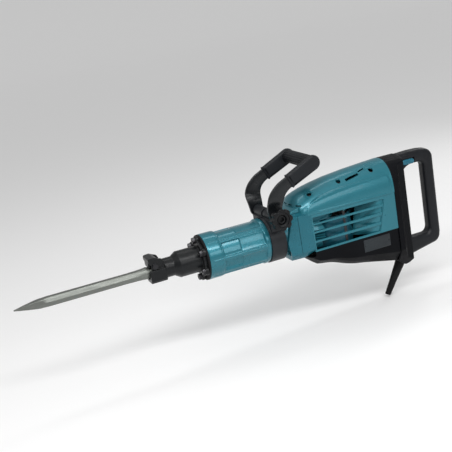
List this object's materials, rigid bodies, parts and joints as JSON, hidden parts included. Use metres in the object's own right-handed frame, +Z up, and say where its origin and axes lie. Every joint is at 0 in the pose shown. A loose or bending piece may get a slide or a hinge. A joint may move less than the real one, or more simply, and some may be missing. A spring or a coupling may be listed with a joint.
{
  "type": "electric jackhammer",
  "caption": "Hand-held electric demolition hammer: bull point chisel, ribbed barrel, swivelling loop side handle, vented motor housing and rear D-handle.",
  "frame": {"origin": "on the tool axis at the middle of the turned front collar, where a side handle can also be clamped", "axes": "+X along the tool axis from the chisel to the D-handle; -X is the way the chisel points; +Z is up, away from the cord guard; +Y is the far side"},
  "size_m": [1.149, 0.1775, 0.4508],
  "materials": {
    "bit_steel": "satin",
    "black_casting": "semi gloss",
    "dark_fasteners": "blackened",
    "gasket_rubber": "matte",
    "barrel_paint": "metallic gloss",
    "gear_housing_paint": "metallic gloss",
    "machined_steel": "ground",
    "gear_steel": "oiled",
    "bearing_steel": "polished",
    "seal_rubber": "oiled",
    "cast_plate": "as cast",
    "winding_copper": "varnished",
    "stator_iron": "varnished",
    "fan_plastic": "moulded",
    "motor_cup_plastic": "moulded",
    "brush_brass": "satin",
    "carbon": "matte",
    "cover_plastic": "metallic gloss",
    "black_plastic": "fine grain",
    "plate_alloy": "matte print ground",
    "lamp_red": "clear",
    "dial_plastic": "moulded",
    "module_plastic": "moulded",
    "handle_plastic": "soft grain",
    "switch_plastic": "moulded",
    "guard_rubber": "matte",
    "band_paint": "satin",
    "zinc_steel": "zinc plated",
    "knob_plastic": "moulded",
    "arm_paint": "gloss",
    "grip_rubber": "ribbed matte"
  },
  "bodies": {
    "hammer_body": {"tool_holder": "black_casting", "retainer_pins": "dark_fasteners", "flange_bolts": "dark_fasteners", "flange_gasket": "gasket_rubber", "barrel": "barrel_paint", "guide_sleeve": "machined_steel", "cylinder_liner": "machined_steel", "crank_bearings": "bearing_steel", "gear_housing": "gear_housing_paint", "housing_bolts": "dark_fasteners", "gear_plate": "cast_plate", "gear_cover": "cast_plate", "idler_bearings": "bearing_steel", "motor_bearings": "bearing_steel", "field_stator": "stator_iron", "motor_housing": "motor_cup_plastic", "brush_holders": "brush_brass", "carbon_brushes": "carbon", "top_cowl": "cover_plastic", "cowl_screws": "dark_fasteners", "side_cover_near": "cover_plastic", "side_cover_far": "cover_plastic", "lower_housing": "black_plastic", "name_plate": "plate_alloy", "rear_housing": "black_plastic", "rear_cover": "black_plastic", "indicator_lamps": "lamp_red", "speed_controller": "module_plastic", "switch_module": "module_plastic", "handle_near": "handle_plastic", "handle_far": "handle_plastic", "handle_screws": "dark_fasteners", "cord_guard": "guard_rubber"},
    "chisel": {"bull_point": "bit_steel"},
    "retainer": {"tool_retainer": "black_casting"},
    "impact_bolt": {"impact_bolt": "machined_steel"},
    "striker": {"striker": "machined_steel", "striker_ring": "seal_rubber"},
    "piston": {"piston": "machined_steel", "piston_ring": "seal_rubber"},
    "rod": {"connecting_rod": "machined_steel", "wrist_pin": "machined_steel"},
    "crank": {"crankshaft": "machined_steel", "crank_gear": "gear_steel"},
    "idler": {"idler_shaft": "machined_steel", "idler_gear": "gear_steel"},
    "armature": {"armature_shaft": "machined_steel", "armature_core": "winding_copper", "commutator": "winding_copper", "cooling_fan": "fan_plastic"},
    "clamp": {"clamp_band": "band_paint", "clamp_bolt": "zinc_steel"},
    "side_handle": {"loop_arms": "arm_paint", "arm_sleeves": "grip_rubber", "cross_rod": "zinc_steel", "cross_grip": "grip_rubber"},
    "knob": {"clamp_knob": "knob_plastic"},
    "dial": {"speed_dial": "dial_plastic"},
    "switch": {"switch_slide": "switch_plastic"}
  },
  "joints": [
    {"name": "chisel_slide", "type": "slide", "parent": "hammer_body", "child": "chisel", "axis": [-1, 0, 0], "range_m": [0, 0.0095]},
    {"name": "retainer_flip", "type": "hinge", "parent": "hammer_body", "child": "retainer", "pos_m": [-0.088, 0, 0.0175], "axis": [0, 1, 0], "range_deg": [0, 34]},
    {"name": "impact_bolt_slide", "type": "slide", "parent": "hammer_body", "child": "impact_bolt", "axis": [-1, 0, 0], "range_m": [0, 0.003]},
    {"name": "striker_slide", "type": "slide", "parent": "hammer_body", "child": "striker", "axis": [1, 0, 0], "range_m": [0, 0.028]},
    {"name": "piston_slide", "type": "slide", "parent": "hammer_body", "child": "piston", "axis": [1, 0, 0], "range_m": [0, 0.024]},
    {"name": "armature_spin", "type": "hinge", "parent": "hammer_body", "child": "armature", "pos_m": [0.402, 0, 0], "axis": [0, 0, 1], "continuous": true},
    {"name": "idler_spin", "type": "hinge", "parent": "hammer_body", "child": "idler", "pos_m": [0.357, 0, 0], "axis": [0, 0, 1], "continuous": true},
    {"name": "crank_turn", "type": "hinge", "parent": "hammer_body", "child": "crank", "pos_m": [0.306, 0, 0], "axis": [0, 0, 1], "continuous": true},
    {"name": "rod_swing", "type": "hinge", "parent": "crank", "child": "rod", "pos_m": [0.294, 0, 0], "axis": [0, 0, 1], "continuous": true},
    {"name": "handle_swing", "type": "hinge", "parent": "hammer_body", "child": "clamp", "pos_m": [0.226, 0, 0], "axis": [1, 0, 0], "continuous": true},
    {"name": "loop_tilt", "type": "hinge", "parent": "clamp", "child": "side_handle", "pos_m": [0.226, 0, 0.066], "axis": [0, 1, 0], "range_deg": [-100, 10]},
    {"name": "knob_turn", "type": "hinge", "parent": "clamp", "child": "knob", "pos_m": [0.226, 0, 0.066], "axis": [0, 1, 0], "range_deg": [0, 450]},
    {"name": "switch_push", "type": "slide", "parent": "hammer_body", "child": "switch", "axis": [0, 1, 0], "range_m": [0, 0.006]},
    {"name": "dial_turn", "type": "hinge", "parent": "hammer_body", "child": "dial", "pos_m": [0.612, 0, -0.04], "axis": [1, 0, 0], "range_deg": [0, 270]}
  ],
  "couplings": [
    {"joint": "idler_spin", "follows": "armature_spin", "ratio": -0.22034},
    {"joint": "crank_turn", "follows": "armature_spin", "ratio": 0.075379},
    {"joint": "rod_swing", "follows": "armature_spin", "ratio": -0.075379}
  ]
}
